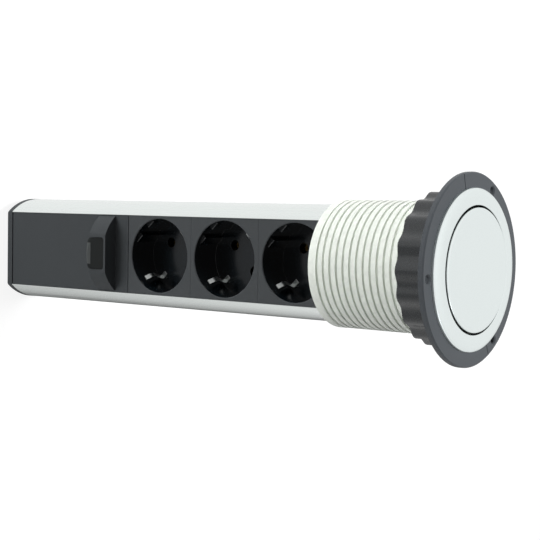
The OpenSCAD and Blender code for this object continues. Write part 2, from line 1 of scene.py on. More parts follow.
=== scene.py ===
"""Looks of the pop-up desk socket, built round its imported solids.

Z = 0 is the desk top under the flange, +Z is up along the column, and the sockets face -Y.
Sizes of the object are in millimetres and turned to metres where a mesh or a material is made.
The studio round it is laid out in metres.
"""

from __future__ import annotations

import logging
import math
from dataclasses import dataclass, field
from enum import Enum
from typing import Any, Callable, Iterable, Sequence

import bmesh
import bpy
from bmesh.types import BMEdge, BMesh, BMVert
from bpy.types import Material, Node, NodeSocket, NodeTree, Object
from mathutils import Matrix, Vector

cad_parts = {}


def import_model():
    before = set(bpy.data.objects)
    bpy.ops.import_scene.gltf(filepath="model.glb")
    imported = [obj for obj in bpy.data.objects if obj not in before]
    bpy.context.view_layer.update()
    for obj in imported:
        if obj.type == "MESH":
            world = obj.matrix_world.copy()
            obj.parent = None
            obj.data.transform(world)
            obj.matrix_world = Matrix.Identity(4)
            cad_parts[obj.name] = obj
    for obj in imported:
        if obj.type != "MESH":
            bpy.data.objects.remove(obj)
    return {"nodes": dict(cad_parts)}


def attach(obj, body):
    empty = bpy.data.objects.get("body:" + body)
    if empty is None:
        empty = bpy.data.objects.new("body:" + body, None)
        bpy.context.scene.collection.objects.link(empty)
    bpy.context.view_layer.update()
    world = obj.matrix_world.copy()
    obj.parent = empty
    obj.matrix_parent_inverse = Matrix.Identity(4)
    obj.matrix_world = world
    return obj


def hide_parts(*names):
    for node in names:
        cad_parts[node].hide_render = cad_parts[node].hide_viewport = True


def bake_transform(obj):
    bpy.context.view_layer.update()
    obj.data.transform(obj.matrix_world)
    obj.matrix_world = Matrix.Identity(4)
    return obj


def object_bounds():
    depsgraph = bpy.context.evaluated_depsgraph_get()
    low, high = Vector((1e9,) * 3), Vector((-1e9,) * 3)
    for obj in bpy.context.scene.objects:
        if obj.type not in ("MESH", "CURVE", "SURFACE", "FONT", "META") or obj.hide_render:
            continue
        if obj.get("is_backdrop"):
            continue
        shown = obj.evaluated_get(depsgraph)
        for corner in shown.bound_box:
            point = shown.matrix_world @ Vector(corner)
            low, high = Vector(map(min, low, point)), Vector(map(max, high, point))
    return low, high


MM = 0.001
LOG = logging.getLogger("desk_socket")

Point = tuple[float, float]
Triple = tuple[float, float, float]
Inputs = dict[Any, Any]


class Body(Enum):
    """The bodies of the part that pieces ride on."""

    HOUSING = "housing"
    WASHER = "washer"
    NUT = "nut"
    COLUMN = "column"
    LATCH = "latch"


class Lay(Enum):
    """How the surface of a metal was worked: how dense its pattern is along X, Y and Z."""

    DRAWN = (1.0, 1.0, 0.004)
    BLASTED = (1.0, 1.0, 1.0)
    STAMPED = (1.0, 0.12, 1.0)


class Reach(Enum):
    """What a lamp shows in: the light on matt surfaces, or its image in glossy ones."""

    LIGHT = (True, False)
    IMAGE = (False, True)


# Materials

WHITE = "#ffffff"
# Levels of a grain's noise that count as its lowest and its highest
GRAIN_SPAN = (0.3, 0.7)


def linear(colour: str) -> tuple[float, float, float, float]:
    """Turns a colour written in hex sRGB into linear values.

    Args:
        colour: Six hex digits after a hash sign.

    Returns:
        Red, green, blue and full opacity.
    """
    shares = [int(colour[i : i + 2], 16) / 255 for i in (1, 3, 5)]
    red, green, blue = (s / 12.92 if s <= 0.04045 else ((s + 0.055) / 1.055) ** 2.4 for s in shares)
    return red, green, blue, 1.0


def add(tree: NodeTree, kind: str, inputs: Inputs | None = None, **settings: Any) -> Node:
    """Adds one node with its settings, values and links.

    Args:
        tree: The tree that gets the node.
        kind: The node's type.
        inputs: Values to set or sockets to link, by the name or place of the input.
        settings: Other properties of the node.

    Returns:
        The new node.
    """
    node = tree.nodes.new(kind)
    for name, value in settings.items():
        setattr(node, name, value)
    for name, value in (inputs or {}).items():
        if isinstance(value, NodeSocket):
            tree.links.new(value, node.inputs[name])
        else:
            node.inputs[name].default_value = value
    return node


@dataclass(frozen=True)
class Ramp:
    """A level that changes evenly while a value runs from a start to an end."""

    start: float
    end: float
    first: float
    last: float

    def inputs(self, value: NodeSocket) -> Inputs:
        """Gives the inputs of a Map Range node that reads the value."""
        return {"Value": value, 1: self.start, 2: self.end, 3: self.first, 4: self.last}


# Share of a finish's colour kept in a gap under painted shade, by how open the gap is
PAINTED_GAP_SHADE = Ramp(0.15, 0.45, 0.03, 1.0)


@dataclass(frozen=True)
class Finish:
    """A surface finish: what it is made of, and the record's slot that it belongs to."""

    name: str
    slot: str
    colour: str
    roughness: float
    grain_mm: float
    depth_mm: float
    spread: float = 0.05
    relief: float = 0.6

    def material(self) -> Material:
        """Gives the finish's material, made on first use."""
        found = bpy.data.materials.get(self.name)
        return found or self.make()

    def make(self) -> Material:
        """Makes the material from an empty node tree.

        Returns:
            The material.
        """
        made = bpy.data.materials.new(self.name)
        made.use_nodes = True
        made.node_tree.nodes.clear()
        shader = self.shade(made.node_tree)
        add(made.node_tree, "ShaderNodeOutputMaterial", {"Surface": shader.outputs[0]})
        return made

    def shade(self, tree: NodeTree) -> Node:
        """Fills the tree and returns its shader."""
        raise NotImplementedError

    def pattern(self, tree: NodeTree, density: Sequence[float] = (1.0, 1.0, 1.0)) -> NodeSocket:
        """Adds a noise of the finish's grain on the piece's own coordinates.

        Args:
            tree: The tree that gets the nodes.
            density: How dense the pattern is along X, Y and Z.

        Returns:
            The socket with the noise, about 0 to 1.
        """
        place = add(tree, "ShaderNodeTexCoord").outputs["Object"]
        spot = add(tree, "ShaderNodeMapping", {"Vector": place, "Scale": density}).outputs[0]
        noise = {"Vector": spot, "Scale": 1 / (self.grain_mm * MM), "Detail": 3.0, "Roughness": 0.55}
        return add(tree, "ShaderNodeTexNoise", noise).outputs[0]

    def tinted(self, tree: NodeTree, tone: NodeSocket) -> NodeSocket:
        """Adds the finish's colour times a tone and returns its socket."""
        parts = {0: 1.0, 6: linear(self.colour), 7: tone}
        return add(tree, "ShaderNodeMix", parts, data_type="RGBA", blend_type="MULTIPLY").outputs[2]

    def gloss(self, tree: NodeTree, grain: NodeSocket) -> NodeSocket:
        """Adds the finish's roughness, a little uneven with its grain, and returns its socket."""
        ramp = Ramp(*GRAIN_SPAN, self.roughness - self.spread, self.roughness + self.spread)
        return add(tree, "ShaderNodeMapRange", ramp.inputs(grain)).outputs[0]

    def surface(
        self, tree: NodeTree, base: NodeSocket, gloss: NodeSocket, height: NodeSocket, more: Inputs
    ) -> Node:
        """Adds the finish's shader over the relief of its grain.

        Args:
            tree: The tree that gets the nodes.
            base: The colour.
            gloss: The roughness.
            height: The relief, about 0 to 1.
            more: Other inputs of the shader.

        Returns:
            The shader.
        """
        relief = {"Strength": self.relief, "Distance": self.depth_mm * MM, "Height": height}
        bump = add(tree, "ShaderNodeBump", relief).outputs[0]
        inputs = {"Base Color": base, "Roughness": gloss, "Normal": bump, **more}
        return add(tree, "ShaderNodeBsdfPrincipled", inputs)


@dataclass(frozen=True)
class Metal(Finish):
    """Bare or anodised metal whose lay shows as a faint spread of its gloss, with painted shade darkening
    narrow gaps.
    """

    relief: float = 0.5
    lay: Lay = Lay.BLASTED
    painted_shade_gap_mm: float = 0.0
    tones: Point = (0.96, 1.0)

    def shade(self, tree: NodeTree) -> Node:
        """Fills the tree.

        Args:
            tree: The material's empty tree.

        Returns:
            The shader.
        """
        grain = self.pattern(tree, self.lay.value)
        gloss = self.gloss(tree, grain)
        tone = add(tree, "ShaderNodeMapRange", Ramp(*GRAIN_SPAN, *self.tones).inputs(grain)).outputs[0]
        # Painted shade: the colour darkens where ambient occlusion finds a narrow gap
        if self.painted_shade_gap_mm:
            gap = {"Distance": self.painted_shade_gap_mm * MM}
            room = add(tree, "ShaderNodeAmbientOcclusion", gap, samples=8).outputs["AO"]
            left = add(tree, "ShaderNodeMapRange", PAINTED_GAP_SHADE.inputs(room)).outputs[0]
            tone = add(tree, "ShaderNodeMath", {0: tone, 1: left}, operation="MULTIPLY").outputs[0]
        return self.surface(tree, self.tinted(tree, tone), gloss, grain, {"Metallic": 1.0})


@dataclass(frozen=True)
class Plastic(Finish):
    """Moulded plastic with the fine grain of its tool."""

    level: float = 0.5
    tones: Point = (0.93, 1.04)

    def shade(self, tree: NodeTree) -> Node:
        """Fills the tree.

        Args:
            tree: The material's empty tree.

        Returns:
            The shader.
        """
        grain = self.pattern(tree)
        gloss = self.gloss(tree, grain)
        tone = add(tree, "ShaderNodeMapRange", Ramp(*GRAIN_SPAN, *self.tones).inputs(grain)).outputs[0]
        return self.surface(tree, self.tinted(tree, tone), gloss, grain, {"Specular IOR Level": self.level})


@dataclass(frozen=True)
class RecessPlastic(Finish):
    """Moulded plastic with a grained face and a smoother recess behind it, painted darker there as painted
    shade.
    """

    painted_shade_colour: str = "#0d1317"
    recess_roughness: float = 0.16
    recess_height: float = 0.5
    edge_y_mm: float = 0.0
    fade_mm: float = 0.08
    level: float = 0.38

    def shade(self, tree: NodeTree) -> Node:
        """Fills the tree.

        Args:
            tree: The material's empty tree.

        Returns:
            The shader.
        """
        place = add(tree, "ShaderNodeTexCoord").outputs["Object"]
        depth = add(tree, "ShaderNodeSeparateXYZ", {0: place}).outputs["Y"]
        edge = Ramp(self.edge_y_mm * MM, (self.edge_y_mm + self.fade_mm) * MM, 0.0, 1.0)
        inside = add(tree, "ShaderNodeMapRange", edge.inputs(depth)).outputs[0]
        # Painted shade: past the edge depth the colour turns to the darker painted shade colour
        colours = {0: inside, 6: linear(self.colour), 7: linear(self.painted_shade_colour)}
        base = add(tree, "ShaderNodeMix", colours, data_type="RGBA").outputs[2]
        grain = self.pattern(tree)
        sheens = {0: inside, 2: self.gloss(tree, grain), 3: self.recess_roughness}
        gloss = add(tree, "ShaderNodeMix", sheens).outputs[0]
        height = add(tree, "ShaderNodeMix", {0: inside, 2: grain, 3: self.recess_height}).outputs[0]
        return self.surface(tree, base, gloss, height, {"Specular IOR Level": self.level})


# Extruded and anodised aluminium: a silky pale grey with faint lines along the extrusion,
# drawn coarser than the real ones so that they show
EXTRUDED_ALUMINIUM = Metal(
    "anodised_aluminium_extruded", "anodised_aluminium", "#e2e7e5",
    roughness=0.26, grain_mm=0.8, depth_mm=0.004, lay=Lay.DRAWN,
)
# Bead-blasted and anodised aluminium: an even satin grey without direction, with painted shade in its
# narrow gaps
BLASTED_ALUMINIUM = Metal(
    "anodised_aluminium_blasted", "anodised_aluminium", "#e4ebea",
    roughness=0.36, grain_mm=0.6, depth_mm=0.003, spread=0.04, painted_shade_gap_mm=3.0,
)
# Bright spring steel strip, rolled: a soft mirror with faint rolling lines
SPRING_STEEL = Metal(
    "spring_steel_rolled", "spring_steel", "#a9acab",
    roughness=0.3, grain_mm=0.5, depth_mm=0.002, lay=Lay.STAMPED,
)
# Zinc-plated screw steel: a little blue-grey and duller than the strip
SCREW_STEEL = Metal(
    "screw_steel_zinc", "screw_steel", "#b6babd",
    roughness=0.34, grain_mm=0.5, depth_mm=0.003, spread=0.06,
)
# Stamped brass of the contacts and bars: warm and bright, with fine rolling lines
STAMPED_BRASS = Metal(
    "brass_stamped", "brass", "#cfae62",
    roughness=0.18, grain_mm=0.5, depth_mm=0.002, spread=0.04, lay=Lay.STAMPED,
)
# Glass-filled nylon of the flange: mid grey with a fine spark-eroded grain
FLANGE_PLASTIC = Plastic(
    "nylon_grained_grey", "flange_plastic", "#42464a",
    roughness=0.5, grain_mm=0.7, depth_mm=0.02, level=0.35,
)
# ABS of the sleeve: cream-white and smooth, with a low even sheen
SLEEVE_PLASTIC = Plastic(
    "abs_smooth_cream", "sleeve_plastic", "#e4e9e1", roughness=0.4, grain_mm=2.5, depth_mm=0.004
)
# Black on the sleeve's lead-in and quite without gloss: painted shade in the gap round the lid
LEAD_IN_PAINTED_SHADE = Plastic(
    "lead_in_painted_shade_black", "sleeve_plastic", "#0c0d0e",
    roughness=0.9, grain_mm=0.3, depth_mm=0.05, level=0.0,
)
# Glass-filled nylon of the nut: charcoal with a low sheen that draws out its lobes
NUT_PLASTIC = Plastic(
    "nylon_moulded_charcoal", "nut_plastic", "#1d2022",
    roughness=0.27, grain_mm=1.2, depth_mm=0.002, level=0.6,
)
# Polycarbonate face plates: matt charcoal with a fine grain
FACE_PLASTIC = Plastic(
    "polycarbonate_matt_charcoal", "face_plastic", "#373a3c",
    roughness=0.6, grain_mm=0.6, depth_mm=0.015, level=0.2,
)
# Latch of acetal: a crest a little lighter than the plate round it as painted highlight, and a glossier
# slope behind painted dark as painted shade
LATCH_PAINTED_LIGHT = RecessPlastic(
    "acetal_painted_highlight_and_shade", "latch_plastic", "#474a4a",
    roughness=0.45, grain_mm=1.0, depth_mm=0.006, level=0.25,
    painted_shade_colour="#0a0e0e", recess_roughness=0.4, edge_y_mm=-28.85,
)
# Hidden covers and the gland: plain black nylon
COVER_PLASTIC = Plastic(
    "nylon_moulded_black", "cover_plastic", "#232527", roughness=0.45, grain_mm=1.0, depth_mm=0.012
)
# Terminal block of urea resin: off-white and slightly glossy
TERMINAL_PLASTIC = Plastic(
    "urea_resin_off_white", "terminal_plastic", "#dad6c9", roughness=0.35, grain_mm=1.5, depth_mm=0.006
)


# Meshes

# Steps of a full turn: for the rims that show most, and for the sleeve
RIM_STEPS = 180
TUBE_STEPS = 144
# Distances in metres within which vertices of a new mesh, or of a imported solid, are one
WELD = 1e-6
SOLID_WELD = 2e-6
# Length in metres under which an edge is no edge
CRUMB = 1e-7
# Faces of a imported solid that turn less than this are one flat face
FLAT_ANGLE = math.radians(0.4)
# Edges that turn more than this stay sharp in the shading
CREASE_ANGLE = math.radians(38)


def vertices(found: Iterable[Any]) -> list[BMVert]:
    """Picks the vertices out of what an operator made."""
    return [item for item in found if isinstance(item, BMVert)]


def shift(bm: BMesh, way: Sequence[float], verts: list[BMVert] | None = None) -> None:
    """Moves a mesh, or only some of its vertices, by a way in millimetres."""
    bmesh.ops.translate(bm, vec=[v * MM for v in way], verts=verts or list(bm.verts))


def turn_about_y(bm: BMesh, angle: float) -> None:
    """Turns a mesh about the Y axis by an angle in degrees."""
    turn = Matrix.Rotation(math.radians(angle), 3, "Y")
    bmesh.ops.rotate(bm, cent=(0, 0, 0), matrix=turn, verts=list(bm.verts))


def chain(
    bm: BMesh, points: Iterable[Sequence[float]], closed: bool
) -> tuple[list[BMVert], list[BMEdge]]:
    """Draws a chain of edges through points.

    Args:
        bm: The mesh that gets the chain.
        points: The points, in millimetres.
        closed: Whether an edge leads from the last point back to the first.

    Returns:
        The vertices and the edges.
    """
    verts = [bm.verts.new([v * MM for v in point]) for point in points]
    ends = verts[1:] + verts[:1] if closed else verts[1:]
    return verts, [bm.edges.new(pair) for pair in zip(verts, ends)]


def turned(profile: Sequence[Point], steps: int) -> BMesh:
    """Spins a closed section round the Z axis.

    Args:
        profile: Points of the section as radius and height, in millimetres.
        steps: Number of steps of the full turn.

    Returns:
        The turned solid, with its doubles merged and its faces outwards.
    """
    bm = bmesh.new()
    verts, edges = chain(bm, [(r, 0.0, z) for r, z in profile], closed=True)
    bmesh.ops.spin(
        bm, geom=verts + edges, cent=(0, 0, 0), axis=(0, 0, 1), angle=math.tau, steps=steps, use_merge=True
    )
    bmesh.ops.remove_doubles(bm, verts=bm.verts, dist=WELD)
    bmesh.ops.dissolve_degenerate(bm, edges=bm.edges, dist=CRUMB)
    bmesh.ops.recalc_face_normals(bm, faces=bm.faces)
    return bm


def wind(
    bm: BMesh, section: tuple[list[BMVert], list[BMEdge]], centre: Triple, axis: Triple, lead: Triple,
    turns: float, per_turn: int,
) -> None:
    """Winds a closed section into a helix and closes its ends.

    Args:
        bm: The mesh that holds the section.
        section: Vertices and edges of the section.
        centre: A point on the helix's axis, in millimetres.
        axis: Direction that the section turns about.
        lead: How far the section moves in a full turn, in millimetres.
        turns: Number of turns.
        per_turn: Steps of a full turn.
    """
    verts, edges = section
    steps = round(turns * per_turn)
    bm.faces.new(verts)
    found = bmesh.ops.spin(
        bm, geom=verts + edges, cent=[v * MM for v in centre], axis=axis,
        dvec=[v / per_turn * MM for v in lead], angle=math.tau * steps / per_turn, steps=steps,
        use_merge=False,
    )
    bmesh.ops.contextual_create(bm, geom=vertices(found["geom_last"]))
    bmesh.ops.recalc_face_normals(bm, faces=bm.faces)


def arc(x: float, z: float, w: float, h: float, start: float, end: float, steps: int) -> list[Point]:
    """Gives points of an elliptical arc about a centre, from one angle to another in degrees."""
    angles = [math.radians(start + (end - start) * i / steps) for i in range(steps + 1)]
    return [(x + w * math.cos(a), z + h * math.sin(a)) for a in angles]


def rounded(path: Sequence[Point], radius: float, steps: int = 6, legs: float = 2.2) -> list[Point]:
    """Rounds the inner corners of an open path.

    Args:
        path: Corner points.
        radius: Length taken from each leg of a corner.
        steps: Points in each rounding.
        legs: How many roundings a leg has room for, which limits the length taken.

    Returns:
        The path with its corners replaced by smooth bends.
    """
    points = [Vector(p) for p in path]
    out: list[Point] = [tuple(points[0])]
    for a, b, c in zip(points, points[1:], points[2:]):
        start = b + (a - b).normalized() * min(radius, (a - b).length / legs)
        end = b + (c - b).normalized() * min(radius, (c - b).length / legs)
        for i in range(steps + 1):
            t = i / steps
            out.append(tuple(start * (1 - t) ** 2 + b * 2 * t * (1 - t) + end * t * t))
    out.append(tuple(points[-1]))
    return out


def box(low: Sequence[float], high: Sequence[float], edge: float) -> BMesh:
    """Makes a block with softened edges.

    Args:
        low: Its lowest corner, in millimetres.
        high: Its highest corner.
        edge: Width of the softened edges.

    Returns:
        The block.
    """
    bm = bmesh.new()
    bmesh.ops.create_cube(bm, size=1.0)
    bmesh.ops.scale(bm, vec=[(h - l) * MM for l, h in zip(low, high)], verts=bm.verts)
    shift(bm, [(h + l) / 2 for l, h in zip(low, high)])
    soften(bm, edge)
    return bm


def soften(
    bm: BMesh, width: float, segments: int = 2, corner: float = 35.0,
    only: Callable[[BMEdge], bool] | None = None,
) -> None:
    """Rounds every edge of a mesh that turns by more than a corner's angle.

    Args:
        bm: The mesh.
        width: Width of the rounding, in millimetres.
        segments: Steps of the rounding.
        corner: Least angle of an edge that is rounded, in degrees.
        only: Test that an edge has to pass, if not all are rounded.
    """
    least = math.radians(corner)
    sharp = [e for e in bm.edges if len(e.link_faces) == 2 and e.calc_face_angle(0.0) > least]
    sharp = [e for e in sharp if only is None or only(e)]
    bmesh.ops.bevel(
        bm, geom=sharp, offset=width * MM, offset_type="OFFSET", segments=segments, profile=0.5,
        affect="EDGES", clamp_overlap=True, loop_slide=True, material=-1,
    )


def join(bm: BMesh, other: BMesh) -> None:
    """Adds another mesh to a mesh.

    Args:
        bm: The mesh that grows.
        other: The mesh that is added, which is freed.
    """
    spare = bpy.data.meshes.new("spare")
    other.to_mesh(spare)
    other.free()
    bm.from_mesh(spare)
    bpy.data.meshes.remove(spare)


@dataclass
class Assembly:
    """A group of pieces that are built and dressed together."""

    nodes: dict[str, Object]

    def merged(self, node: str) -> BMesh:
        """Copies a solid's mesh, with its doubles and its flat triangles merged.

        Args:
            node: Name of the solid.

        Returns:
            The merged copy.
        """
        bm = bmesh.new()
        bm.from_mesh(self.nodes[node].data)
        bmesh.ops.remove_doubles(bm, verts=bm.verts, dist=SOLID_WELD)
        bmesh.ops.dissolve_limit(bm, angle_limit=FLAT_ANGLE, verts=bm.verts, edges=bm.edges)
        return bm

    def shape(
        self, bm: BMesh, name: str, finish: Finish, stands_for: Iterable[str],
        second_finish: Finish | None = None,
    ) -> Object:
        """Makes a finished piece of a mesh, which still has to follow a body.

        Args:
            bm: The mesh, which is freed.
            name: Name of the piece.
            finish: Its finish.
            stands_for: Solids that it replaces.
            second_finish: Finish of the faces whose material index is 1.

        Returns:
            The piece.
        """
        mesh = bpy.data.meshes.new(name)
        bm.to_mesh(mesh)
        bm.free()
        mesh.shade_smooth()
        mesh.set_sharp_from_angle(angle=CREASE_ANGLE)
        for coat in (finish, second_finish):
            if coat:
                mesh.materials.append(coat.material())
        made = bpy.data.objects.new(name, mesh)
        bpy.context.scene.collection.objects.link(made)
        even = made.modifiers.new("even_shading", "WEIGHTED_NORMAL")
        even.keep_sharp = True
        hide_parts(*stands_for)
        LOG.info("%s: %d faces", name, len(mesh.polygons))
        return made

    def piece(
        self, bm: BMesh, name: str, body: Body, finish: Finish, stands_for: Iterable[str],
        second_finish: Finish | None = None,
    ) -> Object:
        """Makes a finished piece of a mesh that rides on one body.

        Args:
            bm: The mesh, which is freed.
            name: Name of the piece.
            body: The body that it rides on.
            finish: Its finish.
            stands_for: Solids that it replaces.
            second_finish: Finish of the faces whose material index is 1.

        Returns:
            The piece.
        """
        made = self.shape(bm, name, finish, stands_for, second_finish)
        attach(made, body.value)
        return made

    def soft_piece(
        self, node: str, body: Body, finish: Finish, width: float, segments: int = 2, way: str = "moulded"
    ) -> Object:
        """Makes a piece that is a solid's own shape with softened edges.

        Args:
            node: Name of the solid.
            body: The body that it rides on.
            finish: Its finish.
            width: Width of its roundings, in millimetres.
            segments: Steps of its roundings.
            way: How the real piece is made, which ends the piece's name.

        Returns:
            The piece.
        """
        bm = self.merged(node)
        soften(bm, width, segments)
        return self.piece(bm, f"{node}_{way}", body, finish, [node])

    def dress(self, node: str, finish: Finish) -> None:
        """Gives a solid that keeps its shape its finish.

        Args:
            node: Name of the solid.
            finish: Its finish.
        """
        shown = self.nodes[node]
        if not shown.material_slots:
            shown.data.materials.append(None)
        for place in shown.material_slots:
            place.material = finish.material()
        LOG.info("%s: dressed as %s", node, finish.name)

    def build(self) -> None:
        """Builds and dresses the group."""
        raise NotImplementedError


@dataclass
class DeskFitting(Assembly):
    """The flange on the desk, its trim ring and the threaded sleeve."""

    flange_t: float = 2.6
    flange_edge: float = 0.16
    trim_r: float = 38.3
    trim_bore_r: float = 30.2
    trim_top: float = 5.2
    trim_wall_h: float = 0.9
    trim_lip: float = 0.4
    crown_w: float = 4.6
    collar_r: float = 34.2
    collar_t: float = 1.2
    collar_gap: float = 0.1
    bore_r: float = 29.75
    root_r: float = 30.9
    thread_r: float = 31.9
    thread_top: float = -2.0
    sleeve_low: float = -68.8
    sleeve_edge: float = 0.5
    plain_l: float = 4.5
    lead: float = 0.9
    pitch: float = 3.75
    turns: float = 17.75
    thread_steps: int = 72
    land_w: float = 3.15
    land_start: float = 0.9
    buried_turns: float = 1.25
    land_sink: float = 0.1
    land_gap: float = 0.02
    # The land's rounded edge, as depths below its crest and heights above its foot
    land_edge: tuple[Point, ...] = ((0.16, 0.27), (0.04, 0.34), (0.0, 0.46))
    key_half: float = 2.5
    key_low: float = -66.4
    key_top: float = -1.5
    key_front_y: float = 27.6
    key_back_y: float = 30.7
    key_edge: float = 0.3

    def trim_ring(self) -> BMesh:
        """Turns the ring with a crowned outside and a small inner lip.

        Returns:
            The ring.
        """
        pocket = self.flange_t + self.collar_t + self.collar_gap
        shoulder, seat = self.flange_t + self.trim_wall_h, self.collar_r + self.collar_gap
        crown_x, crown_h = self.trim_r - self.crown_w, self.trim_top - shoulder
        lip_x, lip_z = self.trim_bore_r + self.trim_lip, self.trim_top - self.trim_lip
        section = [(seat, pocket), (seat, self.flange_t), (self.trim_r, self.flange_t)]
        section += arc(crown_x, shoulder, self.crown_w, crown_h, 0, 90, steps=20)
        section += arc(lip_x, lip_z, self.trim_lip, self.trim_lip, 90, 180, steps=5)
        section += [(self.trim_bore_r, pocket)]
        return turned(section, RIM_STEPS)

    def sleeve(self) -> BMesh:
        """Turns the tube of the sleeve, with its lead-in painted black as painted shade, and adds its
        thread and its key.

        Returns:
            The sleeve, whose lead-in has the material index 1.
        """
        low, end, edge = self.sleeve_low, self.sleeve_low + self.plain_l, self.sleeve_edge
        top, thread_r, lead_r = self.flange_t + self.collar_t, self.thread_r, self.bore_r + self.lead
        section = [(self.bore_r, low)]
        section += arc(thread_r - edge, low + edge, edge, edge, -90, 0, steps=5)
        section += [(thread_r, end), (self.root_r, end)]
        section += [(self.root_r, self.thread_top), (thread_r, self.thread_top)]
        section += [(thread_r, self.flange_t), (self.collar_r, self.flange_t), (self.collar_r, top)]
        section += [(lead_r, top), (self.bore_r, top - self.lead)]
        bm = turned(section, TUBE_STEPS)
        # Painted shade: the lead-in faces take the black second finish
        for face in bm.faces:
            middle = face.calc_center_median() / MM
            in_painted_shade = middle.xy.length < lead_r and top - self.lead < middle.z < top
            face.material_index = int(in_painted_shade)
        join(bm, self.thread(end))
        key_low = (-self.key_half, self.key_front_y, self.key_low)
        join(bm, box(key_low, (self.key_half, self.key_back_y, self.key_top), self.key_edge))
        return bm

    def thread(self, end: float) -> BMesh:
        """Winds the land of the thread, its lower end inside the sleeve's plain end.

        Args:
            end: Height at which the thread comes out of the plain end.

        Returns:
            The land, one closed strip.
        """
        crest, root = self.thread_r - self.land_gap, self.root_r - self.land_sink
        foot = end + self.land_start - self.buried_turns * self.pitch
        land = [(root, 0.0)] + [(crest - depth, z) for depth, z in self.land_edge]
        outline = land + [(r, self.land_w - z) for r, z in reversed(land)]
        bm = bmesh.new()
        section = chain(bm, [(-r, 0.0, foot + z) for r, z in outline], closed=True)
        wind(bm, section, (0, 0, 0), (0, 0, 1), (0, 0, self.pitch), self.turns, self.thread_steps)
        return bm

    def build(self) -> None:
        """Builds and dresses the group."""
        self.soft_piece("mounting_flange", Body.HOUSING, FLANGE_PLASTIC, self.flange_edge)
        self.piece(
            self.trim_ring(), "trim_ring_turned", Body.HOUSING, BLASTED_ALUMINIUM, ["trim_ring"]
        )
        self.piece(
            self.sleeve(), "threaded_sleeve_moulded", Body.HOUSING, SLEEVE_PLASTIC, ["threaded_sleeve"],
            LEAD_IN_PAINTED_SHADE,
        )


@dataclass
class ClampingSet(Assembly):
    """The washer under the desk and the lobed nut that pulls it up."""

    bore_r: float = 32.2
    valley_r: float = 34.9
    lobe_h: float = 1.7
    lobes: int = 18
    lobe_steps: int = 16
    nut_low: float = -17.6
    nut_top: float = -0.8
    nut_edge: float = 0.6
    washer_edge: float = 0.2

    def nut(self) -> BMesh:
        """Raises the nut from its lobed outline, with rounded ends and a plain bore.

        Returns:
            The nut.
        """
        bm = bmesh.new()
        around = self.lobes * self.lobe_steps
        rings = [
            bmesh.ops.create_circle(bm, segments=around, radius=r * MM, cap_ends=False)["verts"]
            for r in (self.bore_r, self.valley_r)
        ]
        for v in rings[1]:
            turn = math.atan2(v.co.x, -v.co.y)
            v.co.xy *= 1 + self.lobe_h * (1 + math.cos(self.lobes * turn)) / 2 / self.valley_r
        bmesh.ops.bridge_loops(bm, edges=bm.edges)
        raised = bmesh.ops.extrude_face_region(bm, geom=list(bm.faces))["geom"]
        shift(bm, (0, 0, self.nut_top - self.nut_low), vertices(raised))
        shift(bm, (0, 0, self.nut_low))
        bmesh.ops.recalc_face_normals(bm, faces=bm.faces)
        soften(bm, self.nut_edge, segments=3, corner=60)
        return bm

    def build(self) -> None:
        """Builds and dresses the group."""
        self.piece(self.nut(), "clamping_nut_moulded", Body.NUT, NUT_PLASTIC, ["clamping_nut"])
        self.soft_piece("clamp_washer", Body.WASHER, NUT_PLASTIC, self.washer_edge)


@dataclass
class LiftingColumn(Assembly):
    """The extruded profile with its lid and its plain upper plate."""

    disc_r: float = 29.2
    disc_low: float = 2.0
    disc_top: float = 5.9
    disc_edge: float = 0.8
    profile_edge: float = 0.12
    blank_edge: float = 0.15
    core_edge: float = 0.2

    def lid(self) -> BMesh:
        """Turns the lid disc with a rounded edge.

        Returns:
            The disc.
        """
        edge = self.disc_edge
        section = [(0.0, self.disc_low), (self.disc_r, self.disc_low)]
        section += arc(self.disc_r - edge, self.disc_top - edge, edge, edge, 0, 90, steps=14)
        section += [(0.0, self.disc_top)]
        return turned(section, RIM_STEPS)

    def build(self) -> None:
        """Builds and dresses the group."""
        self.soft_piece(
            "column_profile", Body.COLUMN, EXTRUDED_ALUMINIUM, self.profile_edge, way="extruded"
        )
        self.piece(self.lid(), "head_disc_turned", Body.COLUMN, BLASTED_ALUMINIUM, ["head_disc"])
        self.soft_piece("upper_blank", Body.COLUMN, FACE_PLASTIC, self.blank_edge)
        self.soft_piece("head_core", Body.COLUMN, FACE_PLASTIC, self.core_edge)
        self.dress("head_screws", SCREW_STEEL)


